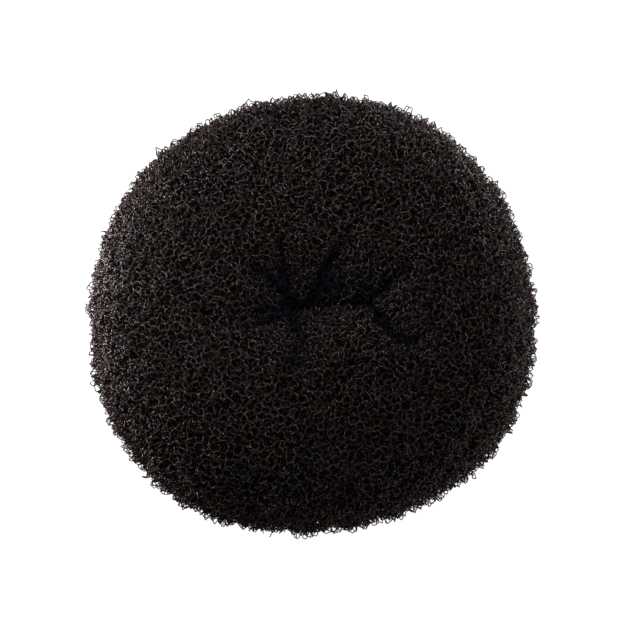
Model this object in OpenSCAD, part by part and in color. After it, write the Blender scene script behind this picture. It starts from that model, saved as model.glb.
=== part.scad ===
// Mesh hair donut: one sleeve of knitted nylon netting, rolled up on itself into a springy ring.
// The roll closes its own hole to a short slit with a round open end, where a ponytail goes through,
// and the netting puckers into puffed lobes with folds between them.
// Lengths are in millimetres, angles in degrees. +Z is up, and the ring lies on the XY plane.

/* [Ring] */
// Mean width across the rim
ring_width = 90; // [70:1:110]
// Height from the resting face to the crest
ring_height = 47; // [36:1:58]
// Fullness of the inner half of the section, 2 being an ellipse
lip_fullness = 4; // [2.2:0.1:5]
// Depth of netting pressed flat where the ring rests
pressed_depth = 1; // [0.5:0.1:2]

/* [Squeezed hole] */
// Width of the hole's round open end
hole_width = 6.4; // [6:0.2:10]
// Length of the slit, from the middle of the open end to its tip
slit_length = 14.9; // [10:0.1:20]
// Gap left between the lips along the slit
slit_gap = 1.8; // [1.2:0.1:3]
// Place of the open end to the right of the ring's middle
hole_x = -3.3; // [-8:0.1:2]
// Place of the slit behind the ring's middle
hole_y = -0.9; // [-5:0.1:5]

/* [Folds] */
// Depth of a full fold in the top of the ring
fold_depth = 5; // [2:0.5:10]
// Half the width of a full fold at its far end, from its valley line to the puffed lobe
fold_reach = 9; // [4:0.5:12]
// Depth of a full fold in the underside
under_fold_depth = 4; // [1:0.5:7]

/* [Output] */
// Piece to draw, or all of them

/* [Hidden] */

net_colour = [0.04, 0.036, 0.038];

half_width = ring_width / 2;
half_height = (ring_height + pressed_depth) / 2;

// The slit runs along X, from the back of the round open end to its tip
hole_radius = hole_width / 2;
slit_start = hole_x - hole_radius;
slit_tip = hole_x + slit_length;
slit_middle = (slit_start + slit_tip) / 2;
slit_reach = (slit_tip - slit_start) / 2;

// Power that blends the round end into the slit
blend = 4;

// Power of a plain ellipse, which the outer half of the section is
ellipse_fullness = 2;

// Share of a fold's width that is left where it starts, between lobes squeezed together
pinch = 0.35;

// Power of a fold's walls: 1 for a plain cusp, 0.5 for two round lobes that meet
puff = 0.75;

// Waves around the ring: how many, height as a share of the half width or half height that they
// follow, and the direction of a crest
WAVES = 0;
HEIGHT = 1;
TOWARDS = 2;
rim_waves = [
  [1, 0.013, -112],
  [2, 0.012, 31],
  [3, 0.010, -28],
  [4, 0.013, -37],
];
crest_waves = [
  [2, 0.010, 70],
  [3, 0.012, 15],
];

// Folds that run out from the hole over the ring: angle at which one leaves the hole's edge, angle
// at which its line would meet the rim, its length as a share of half the ring's width, its depth as
// a share of a full fold's, its half width as a share of fold_reach, and the facets around the lobe
// from this fold to the next
HOLE_ANGLE = 0;
RIM_ANGLE = 1;
LENGTH = 2;
DEPTH = 3;
REACH = 4;
FACETS = 5;
folds = [
  [12, 30, 0.32, 0.95, 0.85, 18],
  [106, 60, 0.40, 0.80, 0.85, 14],
  [139, 112, 0.36, 0.80, 0.80, 10],
  [157, 144, 0.38, 0.90, 0.90, 14],
  [190, 197, 0.50, 1.00, 1.00, 16],
  [232, 271, 0.50, 0.90, 1.00, 18],
  [346, 327, 0.42, 1.00, 0.90, 10],
];

// Facets around the section
section_steps = 50;
section_step = 360 / section_steps;

function total(list, i = 0) =
  i < len(list) ? list[i] + total(list, i + 1) : 0;

function product(list, i = 0) =
  i < len(list) ? list[i] * product(list, i + 1) : 1;

// Height of a table of waves at an angle around the ring, as a share
function waves_at(table, angle) =
  total([for (row = table) row[HEIGHT] * cos(row[WAVES] * (angle - row[TOWARDS]))]);

// Power of a number that keeps its sign
function signed_power(value, power) =
  sign(value) * pow(abs(value), power);

// Rim of the ring in plan
function rim_point(angle) =
  half_width * (1 + waves_at(rim_waves, angle)) * [cos(angle), sin(angle)];

// Half height of a lens with the given middle, reach and height, at a place along it
function lens(x, middle, reach, height) =
  height * sqrt(max(0, 1 - pow((x - middle) / reach, 2)));

// Edge of the squeezed hole in plan: a round end that narrows into a slit
function hole_point(angle) =
  let (
    x = slit_middle + slit_reach * cos(angle),
    round_end = lens(x, hole_x, hole_radius, hole_radius),
    slit = lens(x, slit_middle, slit_reach, slit_gap / 2),
    y = pow(pow(round_end, blend) + pow(slit, blend), 1 / blend)
  )
  [x, hole_y + sign(sin(angle)) * y];

// Where a fold starts, and how far and in what direction it runs
function fold_start(fold) = hole_point(fold[HOLE_ANGLE]);
function fold_run(fold) =
  let (line = rim_point(fold[RIM_ANGLE]) - fold_start(fold))
  fold[LENGTH] * half_width * line / norm(line);

// Depth of one fold at a point in plan, as a share of a full fold's.
// It is deepest on its line and rises as a curved wall on both sides. Along its length it widens
// and fades.
function fold_at(fold, place) =
  let (
    start = fold_start(fold),
    run = fold_run(fold),
    along = min(1, max(0, (place - start) * run / (run * run))),
    away = norm(place - start - along * run),
    reach = fold_reach * fold[REACH] * (pinch + (1 - pinch) * along),
    nearness = max(0, 1 - away / reach),
    wall = 1 - pow(1 - nearness * nearness, puff),
    fade = 1 - along * along * (3 - 2 * along)
  )
  fold[DEPTH] * wall * fade;

// Depth of all the folds together at a point in plan, as a share of a full fold's
function folds_at(place) =
  1 - product([for (fold = folds) 1 - fold_at(fold, place)]);

// Angles at the hole and at the rim of each slice of the ring: a fold's own, then even steps across
// the lobe up to the next fold
slices = [
  for (i = [0 : len(folds) - 1])
    let (
      this = folds[i],
      next = folds[(i + 1) % len(folds)],
      turn = i == len(folds) - 1 ? 360 : 0
    )
    for (k = [0 : this[FACETS] - 1])
      let (share = k / this[FACETS])
      [
        for (column = [HOLE_ANGLE, RIM_ANGLE])
          this[column] + share * (next[column] + turn - this[column])
      ]
];

// One point of the roll's skin, in a slice that spans from the hole's edge to the rim
function skin_point(slice, section_angle) =
  let (
    inner = hole_point(slice[HOLE_ANGLE]),
    outer = rim_point(slice[RIM_ANGLE]),
    fullness = cos(section_angle) < 0 ? lip_fullness : ellipse_fullness,
    out = signed_power(cos(section_angle), 2 / fullness),
    up = signed_power(sin(section_angle), 2 / fullness),
    place = (inner + outer) / 2 + (outer - inner) / 2 * out,
    crest = half_height * (1 + waves_at(crest_waves, slice[RIM_ANGLE])),
    height = up > 0
      ? up * (crest - fold_depth * folds_at(place))
      : up * (half_height - under_fold_depth * folds_at(place))
  )
  [place[0], place[1], max(0, half_height + height - pressed_depth)];

// Middle of the box around the rim, which is set on the origin
rim = [for (slice = slices) rim_point(slice[RIM_ANGLE])];
rim_x = [for (point = rim) point[0]];
rim_y = [for (point = rim) point[1]];
middle = [(max(rim_x) + min(rim_x)) / 2, (max(rim_y) + min(rim_y)) / 2, 0];

skin_points = [
  for (slice = slices)
    for (j = [0 : section_steps - 1])
      skin_point(slice, j * section_step) - middle
];

// Place in skin_points of a slice and a step around its section
function at(i, j) =
  (i % len(slices)) * section_steps + j % section_steps;

skin_faces = [
  for (i = [0 : len(slices) - 1])
    for (j = [0 : section_steps - 1])
      for (half = [0 : 1])
        half == 0
          ? [at(i, j), at(i, j + 1), at(i + 1, j + 1)]
          : [at(i, j), at(i + 1, j + 1), at(i + 1, j)]
];

// The whole roll of netting, which is one long sleeve wound solid
module net_roll() {
  color(net_colour)
    polyhedron(points = skin_points, faces = skin_faces, convexity = 10);
}

net_roll();
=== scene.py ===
# %% [markdown]
# # A mesh hair donut
# The object is one long sleeve of knitted nylon netting, rolled up on itself until it is a springy
# ring that squeezes its own hole shut. It could be drawn as a smooth ring with a net texture, but a
# flat texture has no gaps to look into and no frayed outline. So this lesson makes real strands:
# three wraps of netting, one below the other, round a dark core. The ring's shape is one formula,
# worked out with numpy for whole grids at once, and everything else is placed on it.

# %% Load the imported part, which is the frame
import math

import bmesh
import bpy
import numpy as np
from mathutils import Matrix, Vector
from mathutils.geometry import delaunay_2d_cdt


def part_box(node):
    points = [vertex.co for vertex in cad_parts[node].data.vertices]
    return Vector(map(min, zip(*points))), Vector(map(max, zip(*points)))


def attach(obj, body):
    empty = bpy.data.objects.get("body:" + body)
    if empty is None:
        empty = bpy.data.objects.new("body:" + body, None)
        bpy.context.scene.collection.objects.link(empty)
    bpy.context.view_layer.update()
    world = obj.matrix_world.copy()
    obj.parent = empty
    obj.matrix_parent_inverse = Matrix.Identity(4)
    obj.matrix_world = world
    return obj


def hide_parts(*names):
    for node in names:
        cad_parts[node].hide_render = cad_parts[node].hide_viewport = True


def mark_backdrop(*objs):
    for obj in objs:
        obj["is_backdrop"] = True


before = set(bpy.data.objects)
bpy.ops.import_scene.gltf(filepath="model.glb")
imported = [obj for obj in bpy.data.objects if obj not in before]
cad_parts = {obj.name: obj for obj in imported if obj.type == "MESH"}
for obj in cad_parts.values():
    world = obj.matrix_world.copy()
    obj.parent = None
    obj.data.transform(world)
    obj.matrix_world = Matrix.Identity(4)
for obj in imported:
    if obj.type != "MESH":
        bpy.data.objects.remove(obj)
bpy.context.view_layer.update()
node_low, node_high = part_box("net_roll")
print("the solid roll measures, mm:", [round(1000 * (h - l), 1) for l, h in zip(node_low, node_high)])

# %% [markdown]
# ## The ring's sizes
# These are the named sizes of the solid model, in millimetres and degrees. The hole is a keyhole in
# plan: a round open end and a slit. The rim is a circle with a few slow waves in it, and the folds
# run out from the hole between puffed lobes. Shapes are worked out in millimetres, and a single
# function at the end turns them into Blender's metres.

# %% Name the sizes of the roll
MM = 0.001

RING_WIDTH = 90.0
RING_HEIGHT = 47.0
PRESSED_DEPTH = 1.0
HOLE_WIDTH = 6.4
SLIT_LENGTH = 14.9
SLIT_GAP = 1.8
HOLE_X = -3.3
HOLE_Y = -0.9
FOLD_DEPTH = 5.0
FOLD_REACH = 9.0
UNDER_FOLD_DEPTH = 4.0

# Fullness of the inner and the outer half of the section, 2 being an ellipse, and the power that
# blends the hole's round end into its slit
LIP_FULLNESS = 4.0
ELLIPSE_FULLNESS = 2.0
BLEND = 4.0

# Share of a fold's width that is left where it starts, and the power of its walls: 1 for a plain
# cusp, 0.5 for two round lobes that meet
PINCH = 0.35
PUFF = 0.75

HALF_WIDTH = RING_WIDTH / 2
HALF_HEIGHT = (RING_HEIGHT + PRESSED_DEPTH) / 2
HOLE_RADIUS = HOLE_WIDTH / 2
SLIT_START = HOLE_X - HOLE_RADIUS
SLIT_TIP = HOLE_X + SLIT_LENGTH
SLIT_MIDDLE = (SLIT_START + SLIT_TIP) / 2
SLIT_REACH = (SLIT_TIP - SLIT_START) / 2

# Each wave: how many around the ring, height as a share, direction of a crest
RIM_WAVES = ((1, 0.013, -112), (2, 0.012, 31), (3, 0.010, -28), (4, 0.013, -37))
CREST_WAVES = ((2, 0.010, 70), (3, 0.012, 15))

# Each fold: angle on the hole's edge, angle on the rim, length as a share of the half width, depth
# as a share of a full fold, reach as a share of FOLD_REACH, and the weight of the lobe after it
FOLDS = np.array([
    (12, 30, 0.32, 0.95, 0.85, 18),
    (106, 60, 0.40, 0.80, 0.85, 14),
    (139, 112, 0.36, 0.80, 0.80, 10),
    (157, 144, 0.38, 0.90, 0.90, 14),
    (190, 197, 0.50, 1.00, 1.00, 16),
    (232, 271, 0.50, 0.90, 1.00, 18),
    (346, 327, 0.42, 1.00, 0.90, 10),
])
print(len(FOLDS), "folds run out from the hole")

# %% [markdown]
# ## Rim, hole and folds in plan
# Seen from above, the ring is a rim with slow waves in it, a keyhole shaped hole, and folds that
# run out from the hole between puffed lobes. Each of them is a short formula of an angle or of a
# place in plan. They could be drawn as curves by hand, but as formulas they can be asked for a
# value at any place, which every later step does.

# %% Draw the rim, the hole and the folds


def waves_at(waves, angle):
    """Sum of cosines: for each wave, height * cos(count * (angle - direction)), angles in degrees."""
    return sum(h * np.cos(np.radians(n * (angle - towards))) for n, h, towards in waves)


def rim_point(angle):
    """The rim in plan: a circle of half the width, swollen by the rim's waves."""
    radius = HALF_WIDTH * (1 + waves_at(RIM_WAVES, angle))
    return np.stack([radius * np.cos(np.radians(angle)), radius * np.sin(np.radians(angle))], -1)


def lens(x, middle, reach, height):
    """Half of an ellipse: height * sqrt(1 - ((x - middle) / reach)^2), and nothing outside it."""
    return height * np.sqrt(np.clip(1 - ((x - middle) / reach) ** 2, 0, None))


def hole_point(angle):
    """The hole's edge in plan: a round end and a slit, blended as the fourth root of the sum of
    the fourth powers of their half heights."""
    x = SLIT_MIDDLE + SLIT_REACH * np.cos(np.radians(angle))
    round_end = lens(x, HOLE_X, HOLE_RADIUS, HOLE_RADIUS)
    slit = lens(x, SLIT_MIDDLE, SLIT_REACH, SLIT_GAP / 2)
    y = (round_end**BLEND + slit**BLEND) ** (1 / BLEND)
    return np.stack([x, HOLE_Y + np.sign(np.sin(np.radians(angle))) * y], -1)


def folds_at(place):
    """Depth of all the folds at points in plan, as a share of a full fold's: one minus the product
    of what each fold leaves. A fold is a cusp across its line, and widens and fades along it."""
    left = np.ones(place.shape[:-1])
    for hole_angle, rim_angle, length, depth, reach_share, _ in FOLDS:
        start = hole_point(hole_angle)
        line = rim_point(rim_angle) - start
        run = length * HALF_WIDTH * line / np.linalg.norm(line)
        along = np.clip((place - start) @ run / (run @ run), 0, 1)
        away = np.linalg.norm(place - start - along[..., None] * run, axis=-1)
        reach = FOLD_REACH * reach_share * (PINCH + (1 - PINCH) * along)
        nearness = np.clip(1 - away / reach, 0, None)
        wall = 1 - (1 - nearness**2) ** PUFF
        left *= 1 - depth * wall * (1 - along**2 * (3 - 2 * along))
    return 1 - left


directions = np.arange(360)
print("rim's radius, mm:", np.round(np.linalg.norm(rim_point(directions), axis=1).min(), 1), "to",
      np.round(np.linalg.norm(rim_point(directions), axis=1).max(), 1))

# %% [markdown]
# ## Creases
# At the bottom of each fold two lobes touch along a thin line, and those lines are what the eye
# reads as creases. They could be painted on, but paint stays flat when the view moves. So each
# crease is a narrow groove in the skin, through a few points in plan, and two slow waves shift it
# sideways so that no stretch of it is straight.

# %% List the creases
# Each crease, along the bottom of a fold: its points in plan, with its depth and half its width at
# each of them
CREASES = (
    ((-3.8, -1.2, 5.0, 0.9), (0.0, -0.7, 3.8, 0.6), (6.0, -0.9, 3.0, 0.5), (11.3, -0.8, 3.2, 0.6)),
    ((-4.3, -2.4, 5.5, 1.2), (-5.4, 1.8, 5.2, 0.9), (-6.2, 6.7, 4.0, 0.7), (-6.4, 11.5, 1.6, 0.6)),
    ((-5.6, 1.2, 4.0, 0.9), (-8.6, 3.9, 4.2, 0.9), (-11.8, 6.0, 2.8, 0.8)),
    ((-4.8, -2.4, 4.0, 1.1), (-8.0, -5.0, 2.8, 1.0), (-13.5, -6.7, 1.4, 1.0)),
    ((-0.4, -0.4, 4.0, 0.7), (1.3, 4.2, 3.2, 0.8), (3.2, 7.4, 2.4, 1.1), (5.6, 10.2, 1.4, 1.1)),
    ((11.3, -0.8, 1.5, 0.8), (12.9, 0.9, 1.1, 1.2), (15.3, 3.0, 1.3, 1.5), (18.5, 3.6, 1.5, 1.6)),
    ((11.3, -0.9, 3.4, 0.8), (12.5, -3.4, 4.0, 0.9), (15.2, -7.2, 3.0, 1.0), (21.2, -11.2, 1.3, 0.8)),
    ((18.5, -9.4, 1.8, 0.7), (21.5, -8.2, 1.7, 0.8), (25.1, -7.3, 0.8, 0.7)),
    ((-3.9, -3.4, 1.0, 0.9), (-3.9, -8.4, 0.5, 1.2), (-4.4, -13.5, 1.0, 1.8)),
    ((2.6, 3.0, 1.5, 2.4), (10.0, 2.2, 1.5, 2.4)),
)
print(len(CREASES), "creases, the deepest, mm:", max(depth for c in CREASES for *_, depth, _ in c))

# %% Work out the creases
# How far the waves shift a crease, and the depth from which one is at its darkest, in mm
CREASE_WOBBLE = 0.35
FULL_CREASE = 4.0

# The waves that shift it along x and along y: radians for each mm of y and of x, and start
WOBBLE_WAVES = ((1.1, 0.6, 1.0), (-0.5, 1.3, 2.0))


def wobble(place):
    """Points in plan moved by two slow crossing waves: along each way, CREASE_WOBBLE times the
    sine of a sum of y and x."""
    x, y = place[..., 0], place[..., 1]
    shift = [np.sin(by_y * y + by_x * x + start) for by_y, by_x, start in WOBBLE_WAVES]
    return place + CREASE_WOBBLE * np.stack(shift, -1)


def creases_at(place, widened=1.0):
    """Depth of the creases at points in plan, and nearness to their lines from 0 to 1. A crease is
    a groove, depth * (1 - (distance / half its width)^2), along straight stretches between its
    points, and the deepest one counts."""
    place = wobble(place)
    depths, nearness = np.zeros(place.shape[:-1]), np.zeros(place.shape[:-1])
    for crease in CREASES:
        for (x0, y0, depth0, width0), (x1, y1, depth1, width1) in zip(crease, crease[1:]):
            start, run = np.array([x0, y0]), np.array([x1 - x0, y1 - y0])
            along = np.clip((place - start) @ run / (run @ run), 0, 1)
            away = np.linalg.norm(place - start - along[..., None] * run, axis=-1)
            half_width = widened * (width0 + along * (width1 - width0))
            share = np.clip(1 - (away / half_width) ** 2, 0, None)
            depth = depth0 + along * (depth1 - depth0)
            depths = np.maximum(depths, depth * share)
            nearness = np.maximum(nearness, share * np.clip(depth / FULL_CREASE, 0, 1))
    return depths, nearness


hole_depth, _ = creases_at(np.array([HOLE_X, HOLE_Y]))
print("depth of the creases at the hole's middle, mm:", hole_depth.round(1))

# %% [markdown]
# ## The skin as a function of two parameters
# One parameter goes round the ring and picks a slice; the other goes round the slice's section,
# from the rim over the crest to the hole and back underneath. The outer half of a section is an
# ellipse and the inner half is fuller, so that the lips roll in steeply as squeezed netting does.
# A mesh could be sculpted by hand instead, but a formula gives every wrap the same folds, at any
# fineness and any depth.

# %% Work out the skin


def slice_angles(share):
    """Angles on the hole's edge and on the rim of the slice at a share of the way round: straight
    steps from each fold's own angles to the next fold's."""
    marks = np.concatenate([[0], np.cumsum(FOLDS[:, 5])])
    turned = FOLDS[:1, :2] + 360
    angles = np.concatenate([FOLDS[:, :2], turned])
    angles[:, :] = np.degrees(np.unwrap(np.radians(angles), axis=0))
    at = share * marks[-1]
    return np.interp(at, marks, angles[:, 0]), np.interp(at, marks, angles[:, 1])


def signed_power(value, power):
    """|value|^power with the sign of value."""
    return np.sign(value) * np.abs(value) ** power


def skin(share, section):
    """Points of the skin. Across a slice the place in plan goes from hole to rim as a signed power
    of cos(section), and the height goes as the same power of sin(section), less the folds."""
    hole_angle, rim_angle = slice_angles(share)
    inner, outer = hole_point(hole_angle), rim_point(rim_angle)
    fullness = np.where(np.cos(section) < 0, LIP_FULLNESS, ELLIPSE_FULLNESS)
    out = signed_power(np.cos(section), 2 / fullness)
    up = signed_power(np.sin(section), 2 / fullness)
    place = (inner + outer) / 2 + (outer - inner) / 2 * out[..., None]
    crest = HALF_HEIGHT * (1 + waves_at(CREST_WAVES, rim_angle))
    folds = folds_at(place)
    creases, _ = creases_at(place)
    top = up * (crest - FOLD_DEPTH * folds - creases)
    under = up * (HALF_HEIGHT - UNDER_FOLD_DEPTH * folds)
    height = HALF_HEIGHT - PRESSED_DEPTH + np.where(up > 0, top, under)
    return np.concatenate([place, height[..., None]], -1)


crests = skin(np.arange(10) / 10, np.full(10, math.pi / 2))
print("height of the crest at ten places, mm:", crests[:, 2].round(1))

# %% [markdown]
# ## A fine grid to read from
# The skin is worked out once on a fine grid, and every later step reads places between the grid's
# points. The formula could be called for every strand instead, but a grid also gives directions
# outwards, from the steps between its points. It closes on itself both ways, as any ring's does.

# %% Make the grid
AROUND = 1000
ACROSS = 500

grid_share, grid_section = np.meshgrid(
    np.arange(AROUND) / AROUND, 2 * math.pi * np.arange(ACROSS) / ACROSS, indexing="ij"
)
SKIN = skin(grid_share, grid_section)
print("grid points:", SKIN.shape[0] * SKIN.shape[1])

# %% [markdown]
# ## The throat drawn shut
# In the photo no light comes through the hole: the netting springs together below the lips and
# closes it. The solid model keeps the hole open, because a ponytail goes through it. The visual
# skin is drawn together at middle heights instead, and stays open at the lips and underneath. A
# plug of netting could fill the hole too, but it would show as a piece that the real ring lacks.

# %% Draw the throat shut
# Heights between which the throat is drawn together, with the share of its full closing at each
THROAT_LEVELS = (2.0, 12.0, 36.0, 48.0)
LEVEL_SHARES = (0, 1, 1, 0)
THROAT_CLOSING = 0.9

# Place in plan of the knot where the lips meet, in mm
KNOT = np.array([-3.9, -1.3])


def throat_share(points, section):
    """1 on the throat's wall at middle heights, falling off upwards, downwards and towards the rim."""
    level = np.interp(points[..., 2], THROAT_LEVELS, LEVEL_SHARES)
    return level**2 * (3 - 2 * level) * np.clip(-np.cos(section), 0, None) ** 2


# The throat's walls move by a share of their distance towards the slit's line, which ends at the
# knot
aim_x = np.clip(SKIN[..., 0], KNOT[0], SLIT_TIP)
aims = np.stack([aim_x, np.full_like(aim_x, KNOT[1])], -1)
closing = THROAT_CLOSING * throat_share(SKIN, grid_section)[..., None]
moves = closing * (aims - SKIN[..., :2])
SKIN[..., :2] += moves
print("largest move of the throat's walls, mm:", np.linalg.norm(moves, axis=-1).max().round(1))

# %% [markdown]
# ## Which way is out
# A strand has to know which way is out of the roll, to rise and sink by it. Blender can work out a
# mesh's normals, but here they are needed before there is a mesh: the steps between neighbouring
# points of the grid, both ways, lie along the skin, and their cross product stands square to it.

# %% Set the rim's middle on the origin and work out the outward normals
rim_now = SKIN[:, 0, :2]
MIDDLE = (rim_now.max(0) + rim_now.min(0)) / 2
SKIN[..., :2] -= MIDDLE
print("the rim's middle, moved to the origin, mm:", np.round(MIDDLE, 2))


def step(grid, axis):
    """Central difference on a grid that closes on itself."""
    return np.roll(grid, -1, axis) - np.roll(grid, 1, axis)


def unit(vectors):
    """Vectors at length one."""
    return vectors / (np.linalg.norm(vectors, axis=-1, keepdims=True) + 1e-12)


NORMAL = unit(np.cross(step(SKIN, 0), step(SKIN, 1)))
print("skin, mm:", np.round(SKIN.min((0, 1)), 1), np.round(SKIN.max((0, 1)), 1))

# %% Read a grid between its points


def read(grid, i, j):
    """Value of a grid between its points, weighted by the four nearest."""
    i0, j0 = np.floor(i).astype(int), np.floor(j).astype(int)
    u, v = (i - i0)[..., None], (j - j0)[..., None]
    near, far = i0 % AROUND, (i0 + 1) % AROUND
    low, high = j0 % ACROSS, (j0 + 1) % ACROSS
    bottom = grid[near, low] * (1 - u) + grid[far, low] * u
    return bottom * (1 - v) + (grid[near, high] * (1 - u) + grid[far, high] * u) * v


first_place = read(SKIN, np.array([0.5]), np.array([0.5]))
print("halfway between the first points of the grid, mm:", first_place.round(2))

# %% [markdown]
# ## Lumps
# Rolled netting is never smooth: it swells and sinks by half a millimetre every few millimetres,
# and that is what makes the ring's edge knobbly. A displacement texture could do this to one mesh.
# Here the lumps are a sum of a few plane waves through space, so that all the wraps swell together
# where they lie on each other.

# %% Work out the lumps
# Spacing and height in mm, number of waves, how far each wave's spacing strays, and the seed
LUMP_SPACING = 5.5
LUMP_HEIGHT = 0.38
LUMP_WAVES = 14
LUMP_SPREAD = (0.7, 1.5)
LUMP_SEED = 11

lump_rng = np.random.default_rng(LUMP_SEED)
lump_directions = unit(lump_rng.normal(size=(LUMP_WAVES, 3)))
lump_counts = 2 * math.pi / (LUMP_SPACING * lump_rng.uniform(*LUMP_SPREAD, LUMP_WAVES))
lump_starts = lump_rng.uniform(0, 2 * math.pi, LUMP_WAVES)


def lumps(points):
    """Height of the lumps: the waves' sum over the root of half their number, times the height."""
    phase = points @ (lump_directions * lump_counts[:, None]).T + lump_starts
    return LUMP_HEIGHT * np.sin(phase).sum(-1) / math.sqrt(LUMP_WAVES / 2)


print("lumps at ten places round the rim, mm:", lumps(SKIN[:: AROUND // 10, 0]).round(2))

# %% [markdown]
# ## Cells of the net
# A knitted net is a crowd of round cells, each about 2 mm wide, and after rolling no two are alike.
# A regular grid of hexagons would show as rows. Instead, cell centres are set in rows, each row
# divided evenly by its own length and then shaken, so the cells keep their size in the narrow
# throat as on the wide rim.

# %% Scatter the centres
# Height of a row as a share of the pitch, and the share of the pitch by which centres are shaken
ROW_RATIO = math.sqrt(3) / 2
SHAKE = 0.21

# Heights in mm, and the pitch at each of them as a share of the pitch on top
PITCH_HEIGHTS = (9.0, 15.0, 30.0, 37.0)
PITCH_RATIOS = (1.30, 1.10, 1.04, 1.0)


def pitches(pitch):
    """Pitch at each step of the section: wider round the rim, where the netting is stretched, and
    widest on the underside, which is seldom seen."""
    return pitch * np.interp(SKIN[..., 2].mean(0), PITCH_HEIGHTS, PITCH_RATIOS)


def scatter(pitch, rng):
    """Centres as places on the grid. Rows lie a hexagon's height apart along the mean section, and
    each row holds its length over its pitch, all moved by a random share of the pitch."""
    across = np.linalg.norm(np.roll(SKIN, -1, 1) - SKIN, axis=-1).mean(0)
    wanted = pitches(pitch)
    climb = np.concatenate([[0], np.cumsum(across / wanted)]) / ROW_RATIO
    rows = round(climb[-1])
    row_places = np.interp((np.arange(rows) + 0.5) / rows * climb[-1], climb, np.arange(ACROSS + 1))
    row_pitches = np.interp(row_places, np.arange(ACROSS), wanted)
    row_steps = row_pitches / np.interp(row_places, np.arange(ACROSS), across)
    found = []
    for place, row_pitch, row_step in zip(row_places, row_pitches, row_steps):
        line = read(SKIN, np.arange(AROUND), np.full(AROUND, place))
        lengths = np.linalg.norm(np.roll(line, -1, 0) - line, axis=-1)
        walked = np.concatenate([[0], np.cumsum(lengths)])
        count = round(walked[-1] / row_pitch)
        marks = (np.arange(count) + rng.uniform() + rng.normal(0, SHAKE, count)) / count % 1
        i = np.interp(marks * walked[-1], walked, np.arange(AROUND + 1))
        found.append(np.stack([i, place + rng.normal(0, SHAKE, count) * row_step], -1))
    return np.concatenate(found)


# A coarse net with little lift shows what each step makes, all in mm
TRIAL_PITCH = 3.0
TRIAL_LIFT = 0.4

trial = scatter(TRIAL_PITCH, np.random.default_rng(1))
print("centres of a trial net with", TRIAL_PITCH, "mm cells:", len(trial))

# %% [markdown]
# ## Neighbours
# Joining each centre to its neighbours gives triangles, and the net's strands are the lines that
# cross those triangles' sides. Blender has a tool for this on a flat sheet. So the centres are laid
# flat, with copies past the sheet's edges because a ring has none, and are joined there. Turning
# some of the triangles' sides afterwards suits them to the ring's real shape.

# %% Join the centres
# How far copies of the grid go past its edges, its lengths in mm when laid flat, around and across,
# how near in mm two centres count as one, and how often the triangles' sides are turned
MARGIN = 0.12
FLAT_LENGTHS = (190, 140)
SAME_CENTRE = 1e-7
TURNING_ROUNDS = 4


def join(places, points):
    """Triangles between neighbouring centres, three indices each, on the flat sheet first and then
    turned to suit the points."""
    flat = places % (AROUND, ACROSS) / (AROUND, ACROSS)
    copies, owners = [], []
    for di in (-1, 0, 1):
        for dj in (-1, 0, 1):
            moved = flat + (di, dj)
            inside = ((moved > -MARGIN) & (moved < 1 + MARGIN)).all(1)
            copies.append(moved[inside])
            owners.append(np.flatnonzero(inside))
    copies, owners = np.concatenate(copies), np.concatenate(owners)
    wide = [Vector(c) for c in (copies * FLAT_LENGTHS).tolist()]
    spots, _, faces, *_ = delaunay_2d_cdt(wide, [], [], 0, SAME_CENTRE, False)
    assert len(spots) == len(wide)
    faces = np.array(faces)
    middles = copies[faces].mean(1)
    kept = ((middles >= 0) & (middles < 1)).all(1)
    triangles = owners[faces[kept]]
    mesh = bpy.data.meshes.new("joined_centres")
    mesh.from_pydata(points.tolist(), [], triangles.tolist())
    work = bmesh.new()
    work.from_mesh(mesh)
    for _ in range(TURNING_ROUNDS):
        bmesh.ops.beautify_fill(work, faces=work.faces[:], edges=work.edges[:], method="ANGLE")
    work.to_mesh(mesh)
    work.free()
    triangles = np.empty(3 * len(mesh.polygons), np.int32)
    mesh.polygons.foreach_get("vertices", triangles)
    bpy.data.meshes.remove(mesh)
    return triangles.reshape(-1, 3)


trial_points = read(SKIN, trial[:, 0], trial[:, 1])
trial_triangles = join(trial, trial_points)
print("its triangles, on a ring twice as many:", len(trial_triangles))

# %% [markdown]
# ## Strands between the cells
# Every triangle holds one knot of the net, where three strands meet. If the strands ran straight,
# the net would look like foam or chicken wire. In knitting the yarn runs on through a knot, so two
# of the three strands share one direction there and the third comes in from the side. Each strand
# is then a smooth curve between its two knots, with a little random bow, and reads as a curl.

# %% Work out the strands' curves
# Strength of the directions at a strand's ends, its sideways bow in mm, the share of strands left
# out, and how many times its usual size a random move may be
CURL = 2.1
BOW = 0.26
BROKEN = 0.14
MOST_SHAKEN = 1.7


def shaken(rng, count):
    """Random numbers of a bell curve, one to a row, cut off at MOST_SHAKEN so that no loop stands
    far out by itself."""
    return np.clip(rng.normal(0, 1, (count, 1)), -MOST_SHAKEN, MOST_SHAKEN)


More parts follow.
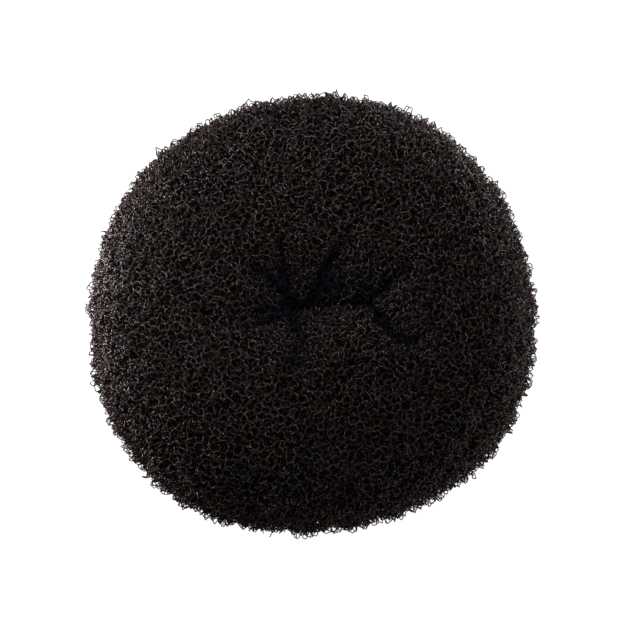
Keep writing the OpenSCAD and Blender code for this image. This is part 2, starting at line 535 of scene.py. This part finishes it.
def strand_curves(triangles, points, normals, lift, ruffled, rng):
    """What each strand's curve needs: its two knots, its direction out of the first and into the
    second, its bow sideways and outwards, and the outward direction. The knots rise and sink by
    the ruffled lift, and the bows by the plain one."""
    knots = points[triangles].mean(1)
    outward = unit(normals[triangles].mean(1))
    knots = knots + outward * ruffled * shaken(rng, len(knots))
    sides = np.stack([triangles, np.roll(triangles, -1, 1)], -1)
    sides = np.sort(sides, -1).reshape(-1, 2).astype(np.int64)
    order = np.argsort(sides[:, 0] * len(points) + sides[:, 1], kind="stable")
    pairs = order.reshape(-1, 2)
    assert (sides[pairs[:, 0]] == sides[pairs[:, 1]]).all()
    partner = np.empty(len(order), int)
    partner[pairs[:, 0]], partner[pairs[:, 1]] = pairs[:, 1], pairs[:, 0]
    neighbours = knots[partner // 3].reshape(-1, 3, 3)
    leaving = unit(neighbours - knots[:, None])
    side_strand = rng.integers(0, 3, len(knots))
    rows = np.arange(len(knots))
    first, second = (side_strand + 1) % 3, (side_strand + 2) % 3
    through = unit(leaving[rows, second] - leaving[rows, first])
    leaving[rows, first], leaving[rows, second] = -through, through
    leaving = leaving.reshape(-1, 3)
    start, end = knots[pairs[:, 0] // 3], knots[pairs[:, 1] // 3]
    gap = np.linalg.norm(end - start, axis=-1, keepdims=True) * CURL
    up = unit(outward[pairs[:, 0] // 3] + outward[pairs[:, 1] // 3])
    aside = unit(np.cross(up, end - start))
    bow = BOW * shaken(rng, len(start)) * aside + lift * shaken(rng, len(start)) * up
    whole = rng.uniform(size=len(start)) > BROKEN
    found = start, end, leaving[pairs[:, 0]] * gap, -leaving[pairs[:, 1]] * gap, bow, up
    return [values[whole] for values in found]


trial_normals = unit(read(NORMAL, trial[:, 0], trial[:, 1]))
trial_curves = strand_curves(
    trial_triangles, trial_points, trial_normals, TRIAL_LIFT, TRIAL_LIFT, np.random.default_rng(2)
)
print("its strands, without the ones left out:", len(trial_curves[0]))

# %% Walk along the strands


def walk(curves, segments):
    """Paths (strands, segments + 1, 3): the cubic from knot to knot with those directions at its
    ends, plus the bow times half a sine wave."""
    start, end, out, back, bow, _ = (c[:, None] for c in curves)
    t = np.linspace(0, 1, segments + 1)[None, :, None]
    hermite = (
        (2 * t**3 - 3 * t**2 + 1) * start
        + (t**3 - 2 * t**2 + t) * out
        + (3 * t**2 - 2 * t**3) * end
        + (t**3 - t**2) * back
    )
    return hermite + np.sin(math.pi * t) * bow


trial_steps = np.diff(walk(trial_curves, 4), axis=1)
print("their mean length, mm:", np.linalg.norm(trial_steps, axis=-1).sum(1).mean().round(2))

# %% [markdown]
# ## From paths to meshes
# Each strand is a tube with three sides, smooth shaded, because at a quarter of a millimetre thick it
# is only a pixel or two wide in any view of the whole ring. A curve with a bevel would make the same
# tube, but tens of thousands of curves are slow to build and to export. So they are joined in one
# mesh, with their corners worked out as one array.

# %% Put corners and polygons in a mesh


def put_mesh(name, corners, polygons, material, shade):
    """A mesh object from corners in mm and a list of polygon arrays, each with one corner count.
    The shade is a number per corner, the share of painted shade, which the material reads as such."""
    mesh = bpy.data.meshes.new(name)
    mesh.vertices.add(len(corners))
    mesh.vertices.foreach_set("co", (corners * MM).astype(np.float32).ravel())
    corner_counts = np.concatenate([np.full(len(p), p.shape[1]) for p in polygons])
    used = np.concatenate([p.ravel() for p in polygons]).astype(np.int32)
    starts = np.concatenate([[0], np.cumsum(corner_counts)[:-1]]).astype(np.int32)
    mesh.loops.add(len(used))
    mesh.loops.foreach_set("vertex_index", used)
    mesh.polygons.add(len(corner_counts))
    mesh.polygons.foreach_set("loop_start", starts)
    mesh.polygons.foreach_set("use_smooth", np.ones(len(starts), bool))
    mesh.update(calc_edges=True)
    mesh.validate()
    mesh.attributes.new("painted_shade", "FLOAT", "POINT").data.foreach_set("value", shade)
    mesh.materials.append(material)
    piece = bpy.data.objects.new(name, mesh)
    bpy.context.scene.collection.objects.link(piece)
    triangles = int((corner_counts - 2).sum())
    print(f"{name}: {triangles} triangles")
    return piece


# %% Turn paths into one mesh of tubes
SIDES = 3


def strand_mesh(name, paths, up, radius, material, shade):
    """Closed tubes along paths: a small triangle set square to the path at each point of it, its
    corners joined along the path, and its two ends filled."""
    shade = np.repeat(shade, paths.shape[1] * SIDES)
    count, stops, _ = paths.shape
    ahead = unit(np.gradient(paths, axis=1))
    side = unit(np.cross(ahead, up[:, None]))
    above = np.cross(side, ahead)
    angles = 2 * math.pi * np.arange(SIDES) / SIDES + math.pi / 2
    rings = np.cos(angles)[:, None] * side[:, :, None] + np.sin(angles)[:, None] * above[:, :, None]
    corners = (paths[:, :, None] + radius * rings).reshape(-1, 3)
    first = (np.arange(count) * stops * SIDES)[:, None, None]
    along = (np.arange(stops - 1) * SIDES)[None, :, None]
    turn = np.arange(SIDES)
    next_turn = (turn + 1) % SIDES
    base = first + along
    walls = np.stack(
        [base + turn, base + SIDES + turn, base + SIDES + next_turn, base + next_turn], -1
    ).reshape(-1, 4)
    starts = first[:, :, 0] + turn
    ends = first[:, :, 0] + (stops - 1) * SIDES + turn[::-1]
    return put_mesh(name, corners, [walls, starts, ends], material, shade)


print("triangles in a strand of one segment:", 2 * SIDES + 2 * (SIDES - 2))

# %% [markdown]
# ## Nylon
# The yarn is dyed near black, and each strand catches the light along its length. Its black isn't
# even: here it leans to brown, there to blue or olive, a few millimetres at a time. Down the flanks
# it turns warmer, as painted backlight. One colour for all of it would look like plastic. The tint
# is a node group, which is built once and used by every yarn with values of its own.

# %% Choose the tones
# Scale of the fine noise, the part of it that is used, and the roughness that it is spread to
FINE_SCALE = 900.0
FINE_RANGE = (0.3, 0.7)
ROUGHNESS_RANGE = (0.21, 0.36)

# Heights in metres between which the tint turns to the flanks' painted backlight, and its factor
FLANK_TOP = 0.041
FLANK_BOTTOM = 0.030
FLANK_BACKLIGHT_TONE = (1.30, 0.74, 0.74, 1)

# Each tone: its place along the noise, from 0 to 1, and its colour in linear light
TONES = (
    (0.32, (0.0080, 0.0080, 0.0170)),
    (0.41, (0.0200, 0.0095, 0.0112)),
    (0.50, (0.0165, 0.0110, 0.0098)),
    (0.58, (0.0112, 0.0132, 0.0072)),
    (0.67, (0.0240, 0.0098, 0.0080)),
)
print(len(TONES), "tones")

# %% Make the tint group


def tint_group():
    """Colour = tones mixed by a soft noise in object space, times a brightness that varies finely, and
    turned warmer down the flanks as painted backlight. Roughness varies with the same fine noise."""
    group = bpy.data.node_groups.new("nylon_tint_and_backlight", "ShaderNodeTree")
    nodes, links = group.nodes, group.links
    inputs, outputs = nodes.new("NodeGroupInput"), nodes.new("NodeGroupOutput")
    for socket in ("Patch Size", "Brightness", "Variation", "Saturation", "Flank Backlight"):
        group.interface.new_socket(socket, in_out="INPUT", socket_type="NodeSocketFloat")
    group.interface.new_socket("Color", in_out="OUTPUT", socket_type="NodeSocketColor")
    group.interface.new_socket("Roughness", in_out="OUTPUT", socket_type="NodeSocketFloat")

    def maths(operation, first, second):
        node = nodes.new("ShaderNodeMath")
        node.operation = operation
        for socket, value in zip(node.inputs, (first, second)):
            if isinstance(value, float):
                socket.default_value = value
            else:
                links.new(value, socket)
        return node.outputs[0]

    def spread(value, low, high, new_low, new_high):
        node = nodes.new("ShaderNodeMapRange")
        for socket, bound in zip(node.inputs[1:5], (low, high, new_low, new_high)):
            socket.default_value = bound
        links.new(value, node.inputs["Value"])
        return node.outputs["Result"]

    place = nodes.new("ShaderNodeTexCoord").outputs["Object"]
    patches = nodes.new("ShaderNodeTexNoise")
    patches.inputs["Detail"].default_value = 1.0
    links.new(place, patches.inputs["Vector"])
    links.new(maths("DIVIDE", 1.0, inputs.outputs["Patch Size"]), patches.inputs["Scale"])
    ramp = nodes.new("ShaderNodeValToRGB")
    while len(ramp.color_ramp.elements) < len(TONES):
        ramp.color_ramp.elements.new(0.5)
    for element, (position, tone) in zip(ramp.color_ramp.elements, TONES):
        element.position = position
        element.color = (*tone, 1)
    links.new(patches.outputs["Fac"], ramp.inputs["Fac"])
    saturated = nodes.new("ShaderNodeHueSaturation")
    links.new(inputs.outputs["Saturation"], saturated.inputs["Saturation"])
    links.new(ramp.outputs["Color"], saturated.inputs["Color"])

    fine = nodes.new("ShaderNodeTexNoise")
    fine.inputs["Scale"].default_value = FINE_SCALE
    links.new(place, fine.inputs["Vector"])
    swing = spread(fine.outputs["Fac"], *FINE_RANGE, -0.5, 0.5)
    varied = maths("ADD", 1.0, maths("MULTIPLY", swing, inputs.outputs["Variation"]))
    scaled = nodes.new("ShaderNodeVectorMath")
    scaled.operation = "SCALE"
    links.new(saturated.outputs["Color"], scaled.inputs[0])
    links.new(maths("MULTIPLY", varied, inputs.outputs["Brightness"]), scaled.inputs["Scale"])
    # Painted backlight: the colour turns warmer down the flanks
    height = nodes.new("ShaderNodeSeparateXYZ")
    links.new(place, height.inputs[0])
    flank = nodes.new("ShaderNodeMapRange")
    for socket, bound in zip(flank.inputs[1:4], (FLANK_TOP, FLANK_BOTTOM, 0.0)):
        socket.default_value = bound
    links.new(height.outputs["Z"], flank.inputs["Value"])
    links.new(inputs.outputs["Flank Backlight"], flank.inputs["To Max"])
    backlit = nodes.new("ShaderNodeMix")
    backlit.data_type = "RGBA"
    backlit.blend_type = "MULTIPLY"
    links.new(flank.outputs["Result"], backlit.inputs["Factor"])
    links.new(scaled.outputs["Vector"], backlit.inputs["A"])
    backlit.inputs["B"].default_value = FLANK_BACKLIGHT_TONE
    links.new(backlit.outputs["Result"], outputs.inputs["Color"])
    roughness = spread(fine.outputs["Fac"], *FINE_RANGE, *ROUGHNESS_RANGE)
    links.new(roughness, outputs.inputs["Roughness"])
    return group


NYLON_TINT_AND_BACKLIGHT = tint_group()
print("the tint group has", len(NYLON_TINT_AND_BACKLIGHT.nodes), "nodes")

# %% [markdown]
# ## Yarns
# The yarn looks duller and darker the deeper it lies in the roll, so there is one material for each
# wrap and one for the core. They could share one, but the real roll has many more layers than this
# model, and less light reaches its deep ones than the model's own shadows give, so their darkness is
# painted shade. Gloss stays in each material, because it is the same all over it. Each also holds a
# second, dull and dark shader of painted shade for creases, mixed in by the mesh's own shade.

# %% Mix the yarns
# Size of a patch of one tone, in metres
TINT_PATCH = 0.0036

# Finish and colours of the painted shade in creases, in the wraps and in the core
SHADE_ROUGHNESS = 0.7
SHADE_GLOSS = 0.05
CREASE_SHADE_TONE = (0.0050, 0.0041, 0.0092, 1)
CORE_SHADE_TONE = (0.012, 0.010, 0.024, 1)


def nylon(name, brightness, variation, saturation, gloss, shade_bsdf_tone):
    """A principled material whose colour and roughness come from the tint group, and a dull, dark one
    for painted shade, mixed by the mesh's shade."""
    material = bpy.data.materials.new(name)
    material.use_nodes = True
    nodes, links = material.node_tree.nodes, material.node_tree.links
    shader = nodes["Principled BSDF"]
    shader.inputs["Specular IOR Level"].default_value = gloss
    tint = nodes.new("ShaderNodeGroup")
    tint.node_tree = NYLON_TINT_AND_BACKLIGHT
    tint.inputs["Patch Size"].default_value = TINT_PATCH
    tint.inputs["Brightness"].default_value = brightness
    tint.inputs["Variation"].default_value = variation
    tint.inputs["Saturation"].default_value = saturation
    # Full painted backlight down the flanks
    tint.inputs["Flank Backlight"].default_value = 1.0
    links.new(tint.outputs["Color"], shader.inputs["Base Color"])
    links.new(tint.outputs["Roughness"], shader.inputs["Roughness"])
    # Painted shade: a dull, dark shader that the mesh's shade number mixes in
    shade_bsdf = nodes.new("ShaderNodeBsdfPrincipled")
    shade_bsdf.inputs["Base Color"].default_value = shade_bsdf_tone
    shade_bsdf.inputs["Roughness"].default_value = SHADE_ROUGHNESS
    shade_bsdf.inputs["Specular IOR Level"].default_value = SHADE_GLOSS
    painted_shade = nodes.new("ShaderNodeAttribute")
    painted_shade.attribute_name = "painted_shade"
    both = nodes.new("ShaderNodeMixShader")
    links.new(painted_shade.outputs["Fac"], both.inputs["Fac"])
    links.new(shader.outputs[0], both.inputs[1])
    links.new(shade_bsdf.outputs[0], both.inputs[2])
    links.new(both.outputs[0], nodes["Material Output"].inputs["Surface"])
    return material


# Deeper wraps and the core get a lower brightness: painted shade
OUTER_YARN = nylon(
    "outer_yarn", brightness=1.0, variation=0.8, saturation=0.85, gloss=0.65, shade_bsdf_tone=CREASE_SHADE_TONE
)
SECOND_YARN = nylon(
    "second_yarn", brightness=0.85, variation=0.8, saturation=1.0, gloss=0.4, shade_bsdf_tone=CREASE_SHADE_TONE
)
INNER_YARN = nylon(
    "inner_yarn", brightness=0.45, variation=0.7, saturation=1.2, gloss=0.25, shade_bsdf_tone=CREASE_SHADE_TONE
)
CORE_YARN = nylon(
    "core_yarn", brightness=0.28, variation=0.5, saturation=1.2, gloss=0.0, shade_bsdf_tone=CORE_SHADE_TONE
)
print("yarns:", ", ".join(y.name for y in (OUTER_YARN, SECOND_YARN, INNER_YARN, CORE_YARN)))

# %% [markdown]
# ## A net drawn on the core
# The core shows only through the gaps of three wraps, a pixel here and there. More real strands
# would cost many triangles for that, so its netting is drawn: lines between the cells of a Voronoi
# pattern, raised by a bump, over painted shade: the deep red brown that light takes on in black nylon.

# %% Draw the net on the core's material
# Painted shade in the cells between the drawn lines, and the lines' relief in metres
GAP_SHADE_TONE = (0.0056, 0.0024, 0.0027, 1)
LINE_RELIEF = 0.0003


def drawn_net_group():
    """Mask of a drawn net: 1 on the walls between the cells of a 3D Voronoi pattern, where the
    distance to the nearest wall is under the line's half width, and 0 inside the cells."""
    group = bpy.data.node_groups.new("drawn_net", "ShaderNodeTree")
    nodes, links = group.nodes, group.links
    inputs, outputs = nodes.new("NodeGroupInput"), nodes.new("NodeGroupOutput")
    for socket in ("Cell Size", "Line Width"):
        group.interface.new_socket(socket, in_out="INPUT", socket_type="NodeSocketFloat")
    group.interface.new_socket("Mask", in_out="OUTPUT", socket_type="NodeSocketFloat")
    cells = nodes.new("ShaderNodeTexVoronoi")
    cells.feature = "DISTANCE_TO_EDGE"
    links.new(nodes.new("ShaderNodeTexCoord").outputs["Object"], cells.inputs["Vector"])
    scale = nodes.new("ShaderNodeMath")
    scale.operation = "DIVIDE"
    scale.inputs[0].default_value = 1.0
    links.new(inputs.outputs["Cell Size"], scale.inputs[1])
    links.new(scale.outputs[0], cells.inputs["Scale"])
    line = nodes.new("ShaderNodeMapRange")
    line.inputs["From Min"].default_value = 0.0
    line.inputs["To Min"].default_value = 1.0
    line.inputs["To Max"].default_value = 0.0
    links.new(cells.outputs["Distance"], line.inputs["Value"])
    links.new(inputs.outputs["Line Width"], line.inputs["From Max"])
    links.new(line.outputs["Result"], outputs.inputs["Mask"])
    return group


DRAWN_NET = drawn_net_group()


def draw_net(material, cell_size, line_width):
    """Darkens a yarn's material with painted shade between the lines of the drawn net."""
    nodes, links = material.node_tree.nodes, material.node_tree.links
    net = nodes.new("ShaderNodeGroup")
    net.node_tree = DRAWN_NET
    net.inputs["Cell Size"].default_value = cell_size
    net.inputs["Line Width"].default_value = line_width
    tinted = nodes["Principled BSDF"].inputs["Base Color"].links[0].from_socket
    lines = nodes.new("ShaderNodeMix")
    lines.data_type = "RGBA"
    lines.inputs["A"].default_value = GAP_SHADE_TONE
    links.new(net.outputs["Mask"], lines.inputs["Factor"])
    links.new(tinted, lines.inputs["B"])
    links.new(lines.outputs["Result"], nodes["Principled BSDF"].inputs["Base Color"])
    bump = nodes.new("ShaderNodeBump")
    bump.inputs["Strength"].default_value = 1.0
    bump.inputs["Distance"].default_value = LINE_RELIEF
    links.new(net.outputs["Mask"], bump.inputs["Height"])
    links.new(bump.outputs["Normal"], nodes["Principled BSDF"].inputs["Normal"])


draw_net(CORE_YARN, cell_size=0.0013, line_width=0.14)
print("the core's drawn net has", len(DRAWN_NET.nodes), "nodes")

# %% [markdown]
# ## Painted shade in the creases
# In a crease the strands press together and hardly any light gets in. The lights alone don't make
# it dark enough, because real netting has many more layers there than this model. So every strand
# carries a number, its shade: how much painted shade, a dull dark tone, it takes. It is worked out
# from the creases, the folds and the nearness to the knot, and a random part per strand keeps it
# ragged.

# %% Work out each strand's shade
# Height in mm above which strands get painted shade, and the darkest painted shade
GAP_ABOVE = 24.0
FULL_SHADE = 0.92

# How much wider than the grooves the shade is, how fast it grows towards their lines, and its
# random part
SHADE_WIDENED = 1.4
SHADE_STEEPNESS = 2.2
SHADE_RAGGED = 0.9

# Painted shade that a full fold and the nearness to the knot add, and how far the knot's shade
# reaches, in mm
FOLD_SHADE = 0.75
KNOT_SHADE = 0.7
KNOT_SHADE_REACH = 20.0


def crease_shade(starts, ends, rng):
    """Each strand's painted shade, from 0 to FULL_SHADE: a multiple of the nearness to a crease,
    plus shares of the fold's depth and of the nearness to the knot, less a random part."""
    middles = (starts + ends) / 2
    place = middles[:, :2] + MIDDLE
    _, nearness = creases_at(place, SHADE_WIDENED)
    near_knot = np.clip(1 - np.linalg.norm(place - KNOT, axis=-1) / KNOT_SHADE_REACH, 0, None)
    shade = SHADE_STEEPNESS * nearness + FOLD_SHADE * folds_at(place) + KNOT_SHADE * near_knot
    ragged = shade - rng.uniform(0, SHADE_RAGGED, len(shade))
    return np.clip(ragged, 0, FULL_SHADE) * (middles[:, 2] > GAP_ABOVE)


at_knot = np.append(KNOT - MIDDLE, RING_HEIGHT)[None]
print("shade at the knot:", crease_shade(at_knot, at_knot, np.random.default_rng(1)).round(2))


# %% [markdown]
# ## The wraps
# From outside inwards, each wrap is a net of its own at its own depth, so looking between the top
# strands shows duller ones below, and at the rim, where the eye looks along the skin, daylight
# shows between the outermost curls. The outer wrap has the largest loops and the smoothest
# strands. The deeper ones are finer and simpler, because only bits of them show. Strands that
# would span a deep crease are left out. Each wrap is cut into pieces by height, to keep every mesh
# small, and its knots are ruffled more round the rim, where the yarn frays.

# %% Knit the wraps
# Clearance above the floor in mm, and the nearness to a crease from which strands are left out, at
# random between the two
FLOOR_CLEARANCE = 0.08
GAP_NEARNESS = (0.8, 1.5)

# Heights in mm, and the lift of the knots at each of them as a share of the wrap's own
RUFFLE_HEIGHTS = (37.0, 43.0)
RUFFLE_RATIOS = (1.60, 1.0)

# Name, depth below the skin, pitch of its cells, lift of its knots, seed, yarn, and its pieces from
# below upwards: name, height up to which it reaches, and its strands' segments and radius
WRAPS = (
    ("outer_wrap", 0.0, 1.74, 0.42, 21, OUTER_YARN,
     (("under", 11.0, 2, 0.140), ("rim", 33.0, 4, 0.122), ("top", math.inf, 3, 0.121))),
    ("second_wrap", 0.52, 1.44, 0.38, 22, SECOND_YARN,
     (("under", 20.0, 1, 0.140), ("rim", 35.0, 2, 0.120), ("top", math.inf, 2, 0.106))),
    ("third_wrap", 1.10, 1.44, 0.36, 23, INNER_YARN,
     (("under", 20.0, 1, 0.140), ("top", math.inf, 1, 0.110))),
)

wrap_pieces = []
for name, depth, pitch, lift, seed, yarn, parts in WRAPS:
    rng = np.random.default_rng(seed)
    places = scatter(pitch, rng)
    normals = unit(read(NORMAL, places[:, 0], places[:, 1]))
    points = read(SKIN, places[:, 0], places[:, 1])
    points = points + normals * (lumps(points) - depth)[:, None]
    triangles = join(places, points)
    ruffled = lift * np.interp(points[triangles].mean(1)[:, 2:], RUFFLE_HEIGHTS, RUFFLE_RATIOS)
    curves = strand_curves(triangles, points, normals, lift, ruffled, rng)
    middles = (curves[0] + curves[1]) / 2
    _, nearness = creases_at(middles[:, :2] + MIDDLE)
    across_gap = (middles[:, 2] > GAP_ABOVE) & (nearness > rng.uniform(*GAP_NEARNESS, len(middles)))
    curves = [values[~across_gap] for values in curves]
    # Painted shade for each strand in the creases, folds and round the knot
    shade = crease_shade(curves[0], curves[1], rng)
    heights = (curves[0][:, 2] + curves[1][:, 2]) / 2
    print(f"{name}: {len(points)} cells, {len(heights)} strands")
    reached = -math.inf
    for part, height, segments, radius in parts:
        here = (heights > reached) & (heights <= height)
        chosen = [c[here] for c in curves]
        paths = walk(chosen, segments)
        paths[..., 2] = np.maximum(paths[..., 2], radius + FLOOR_CLEARANCE)
        made = strand_mesh(f"{name}_{part}", paths, chosen[-1], radius, yarn, shade[here])
        wrap_pieces.append(made)
        reached = height

# %% [markdown]
# ## The core
# Below three wraps nothing can be told apart any more, so the rest of the roll is one closed,
# padded form that follows the skin at a set depth. It is almost black, because light that gets this
# deep doesn't come out again. Cloth simulation would puff it up evenly, while real netting keeps
# the folds that it was rolled with, so the core takes its form from the skin.

# %% Make the core
# Depth below the skin in mm, and in the throat, and how many of the grid's points make one of its own
CORE_DEPTH = 1.8
CORE_THROAT_DEPTH = 1.0
CORE_EVERY = 8


def core_mesh(name, every, material):
    """A closed grid: every nth point of the skin, moved inwards along its normal by a depth that is
    less in the throat."""
    points = SKIN[::every, ::every]
    in_throat = throat_share(points, grid_section[::every, ::every])
    depth = CORE_DEPTH + (CORE_THROAT_DEPTH - CORE_DEPTH) * in_throat
    points = points + NORMAL[::every, ::every] * (lumps(points) - depth)[..., None]
    points[..., 2] = np.maximum(points[..., 2], FLOOR_CLEARANCE)
    around, across, _ = points.shape
    i, j = np.meshgrid(np.arange(around), np.arange(across), indexing="ij")
    i_next, j_next = (i + 1) % around, (j + 1) % across
    quads = np.stack(
        [i * across + j, i_next * across + j, i_next * across + j_next, i * across + j_next], -1
    )
    points = points.reshape(-1, 3)
    # Painted shade near the creases, which the core's material mixes in as a dark tone
    _, shade = creases_at(points[:, :2] + MIDDLE, SHADE_WIDENED)
    shade = shade * (points[:, 2] > GAP_ABOVE)
    return put_mesh(name, points, [quads.reshape(-1, 4)], material, shade)


core = core_mesh("wound_core", CORE_EVERY, CORE_YARN)

for piece in [core, *wrap_pieces]:
    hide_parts("net_roll")
    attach(piece, "root")

# %% [markdown]
# ## Floor
# The ring lies on plain white, without a shadow. Lights bright enough to turn a floor that white
# would wash the black nylon out. So the floor itself is dim, and it glows white only where the
# camera sees it, which leaves the light on the ring to the lights.

# %% Lay the floor
FLOOR_SIZE = 6.0
FLOOR_TONE = (0.15, 0.15, 0.15, 1)
FLOOR_ROUGHNESS = 0.9

# Strength of the glow, in the light that it casts and where the camera sees it
FLOOR_GLOW = 0.02
FLOOR_GLOW_SEEN = 0.97


def floor():
    """A flat square at z = 0 that glows white where the camera sees it."""
    half = FLOOR_SIZE / 2
    mesh = bpy.data.meshes.new("floor")
    corners = [(-half, -half, 0), (half, -half, 0), (half, half, 0), (-half, half, 0)]
    mesh.from_pydata(corners, [], [(0, 1, 2, 3)])
    made = bpy.data.objects.new("floor", mesh)
    bpy.context.scene.collection.objects.link(made)
    white = bpy.data.materials.new("white_floor")
    white.use_nodes = True
    nodes, links = white.node_tree.nodes, white.node_tree.links
    shader = nodes["Principled BSDF"]
    shader.inputs["Base Color"].default_value = FLOOR_TONE
    shader.inputs["Roughness"].default_value = FLOOR_ROUGHNESS
    shader.inputs["Specular IOR Level"].default_value = 0.0
    shader.inputs["Emission Color"].default_value = (1, 1, 1, 1)
    light_path = nodes.new("ShaderNodeLightPath")
    glow = nodes.new("ShaderNodeMapRange")
    glow.inputs["To Min"].default_value = FLOOR_GLOW
    glow.inputs["To Max"].default_value = FLOOR_GLOW_SEEN
    links.new(light_path.outputs["Is Camera Ray"], glow.inputs["Value"])
    links.new(glow.outputs["Result"], shader.inputs["Emission Strength"])
    mesh.materials.append(white)
    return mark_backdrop(made)


floor()
print("side of the floor, m:", FLOOR_SIZE)

# %% [markdown]
# ## Lights
# Black nylon shows mostly by its glints, so small lights stand near it: two high ones to the left
# and behind, and three low ones to the left, behind and to the right, which reach the frayed rim.
# Two wide ones far off in front fill in softly. One large light would be simpler, but then every
# strand would glint alike.

# %% Set the lights
# Colour of the lights, strength and colour of the light from all round, and the point they aim at
WARM = (1.0, 0.96, 0.93)
ROOM_LIGHT = 0.02
ROOM_TONE = (0.9, 0.85, 1, 1)
AIM = Vector((0, 0, HALF_HEIGHT * MM))

world = bpy.data.worlds.new("room")
bpy.context.scene.world = world
world.use_nodes = True
world.node_tree.nodes["Background"].inputs["Color"].default_value = ROOM_TONE
world.node_tree.nodes["Background"].inputs["Strength"].default_value = ROOM_LIGHT


def soft_light(name, azimuth, elevation, distance, power, size):
    """A square area light turned towards the ring, from an azimuth (0 right, 90 back) in degrees
    and an elevation above the floor. Distance and size are in metres, power in watts."""
    a, e = math.radians(azimuth), math.radians(elevation)
    towards = Vector((math.cos(a) * math.cos(e), math.sin(a) * math.cos(e), math.sin(e)))
    light = bpy.data.lights.new(name, "AREA")
    light.energy = power
    light.color = WARM
    light.size = size
    lamp = bpy.data.objects.new(name, light)
    lamp.location = AIM + distance * towards
    lamp.rotation_euler = (-towards).to_track_quat("-Z", "Y").to_euler()
    lamp.visible_camera = False
    bpy.context.scene.collection.objects.link(lamp)
    return lamp


# Distances from the ring's middle, in metres
NEAR = 0.11
FAR = 1.0

LIGHTS = (
    soft_light("key", azimuth=165, elevation=56, distance=NEAR, power=0.045, size=0.03),
    soft_light("rear", azimuth=108, elevation=66, distance=NEAR, power=0.052, size=0.03),
    soft_light("left_edge", azimuth=171, elevation=12, distance=NEAR, power=0.158, size=0.04),
    soft_light("back_edge", azimuth=50, elevation=12, distance=NEAR, power=0.072, size=0.04),
    soft_light("right_edge", azimuth=345, elevation=5, distance=NEAR, power=0.020, size=0.04),
    soft_light("fill", azimuth=330, elevation=40, distance=FAR, power=3.3, size=0.8),
    soft_light("front_edge", azimuth=300, elevation=14, distance=FAR, power=2.3, size=0.8),
)
print("lights:", ", ".join(lamp.name for lamp in LIGHTS))

# %% [markdown]
# ## Camera
# The camera looks almost straight down from far away through a long lens, which keeps the ring's
# shape free of perspective. Its distance is worked out from how much of the picture the ring fills.

# %% Set the camera
# Angle above the floor, lens and sensor in mm, and sides of the picture and the ring in pixels
ELEVATION = math.radians(80)
LENS = 220.0
SENSOR = 36.0
PICTURE_SIDE = 625
RING_PIXELS = 440
FRAME_WIDTH = (node_high.x - node_low.x) * PICTURE_SIDE / RING_PIXELS

# Nearest place that the camera sees, in metres
CLIP_START = 0.01

camera = bpy.data.cameras.new("camera")
camera.lens = LENS
camera.sensor_width = SENSOR
camera.clip_start = CLIP_START
eye = bpy.data.objects.new("camera", camera)
distance = FRAME_WIDTH * LENS / SENSOR
eye.location = AIM + distance * Vector((0, -math.cos(ELEVATION), math.sin(ELEVATION)))
eye.rotation_euler = (AIM - eye.location).to_track_quat("-Z", "Y").to_euler()
bpy.context.scene.collection.objects.link(eye)
bpy.context.scene.camera = eye
bpy.context.scene.view_settings.view_transform = "Standard"
print("camera distance, m:", round(distance, 3))
